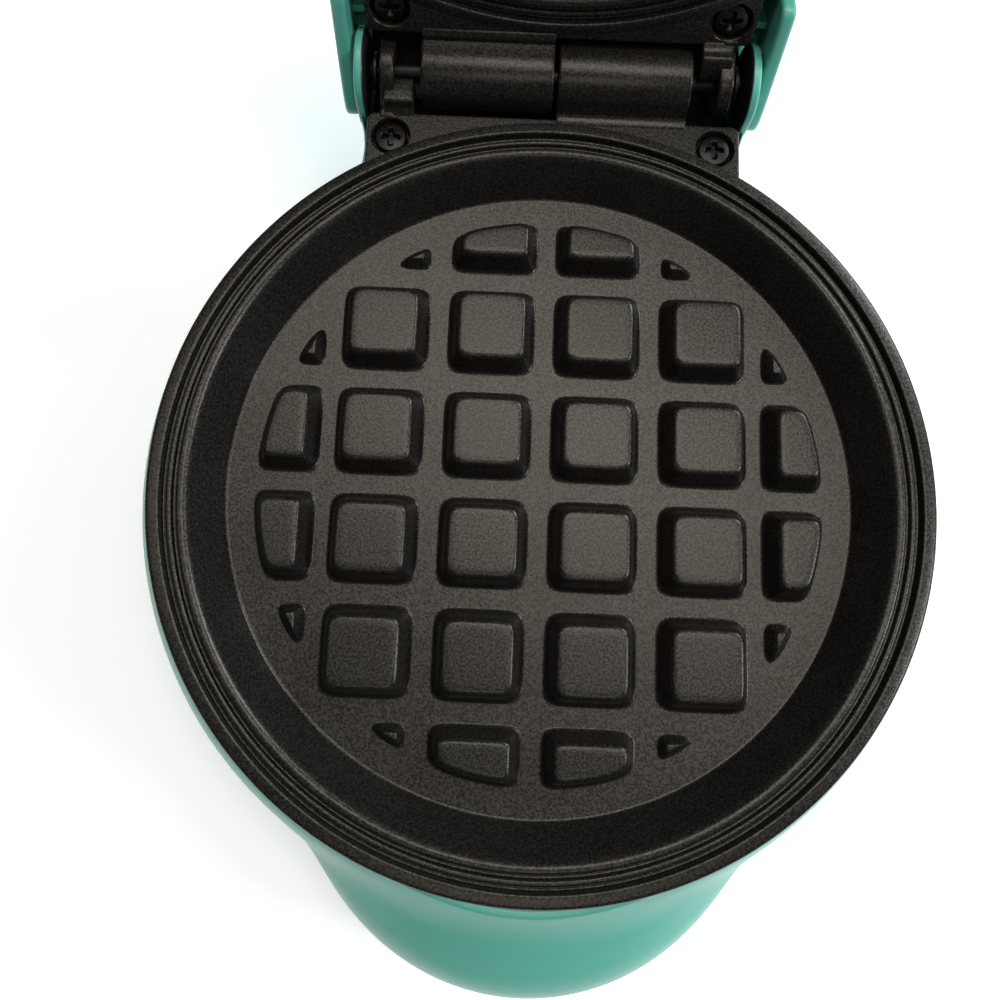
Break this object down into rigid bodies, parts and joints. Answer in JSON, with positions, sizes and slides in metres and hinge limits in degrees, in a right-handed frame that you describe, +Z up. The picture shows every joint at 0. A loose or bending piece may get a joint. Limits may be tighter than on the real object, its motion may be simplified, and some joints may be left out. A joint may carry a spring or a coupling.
{
  "type": "waffle maker",
  "caption": "Mini waffle maker with two round cast plates, teal shells with front lips, and a lid open on its hinge.",
  "frame": {"origin": "middle of the footprint of the open appliance, on the counter", "axes": "+Z up, +Y towards the hinge at the rear, +X to the right seen from the front"},
  "size_m": [0.127, 0.2154, 0.1698],
  "materials": {
    "shell": "glossy teal moulded plastic",
    "coated_casting": "die-cast aluminium with a dark brown-black satin non-stick coating",
    "black_steel": "blackened steel, satin",
    "steel": "plain steel",
    "element_sheath": "heat-darkened metal sheath",
    "black_plastic": "fine-textured black plastic",
    "rubber": "matt rubber",
    "ceramic": "off-white ceramic and heat-proof plastic",
    "insulation": "woven glass sleeving on wire",
    "lens": "clear-white lens"
  },
  "bodies": {
    "base": {"base_shell": "shell", "bottom_cover": "black_plastic", "foot_front_left": "rubber", "foot_front_right": "rubber", "foot_rear_left": "rubber", "foot_rear_right": "rubber", "cover_screw_1": "steel", "cover_screw_2": "steel", "cover_screw_3": "steel", "cord_gland": "black_plastic", "lower_plate": "coated_casting", "lower_plate_screw_left": "black_steel", "lower_plate_screw_right": "black_steel", "lower_heating_element": "element_sheath", "lower_element_clamp": "steel", "lower_clamp_screw": "steel", "lower_heat_shield": "steel", "thermostat": "ceramic", "thermal_fuse": "steel", "terminal_block": "ceramic", "lead_left": "insulation", "lead_right": "insulation", "hinge_pin": "steel", "pin_clip_left": "steel", "pin_clip_right": "steel"},
    "lid": {"lid_shell": "shell", "upper_plate": "coated_casting", "upper_plate_screw_left": "black_steel", "upper_plate_screw_right": "black_steel", "upper_heating_element": "element_sheath", "upper_element_clamp": "steel", "upper_clamp_screw": "steel", "upper_heat_shield": "steel", "indicator_lens": "lens", "indicator_lamp": "ceramic"}
  },
  "joints": [
    {"name": "lid_hinge", "type": "hinge", "parent": "base", "child": "lid", "pos_m": [0, 0.03725, 0.04], "axis": [1, 0, 0], "range_deg": [0, 110]}
  ]
}
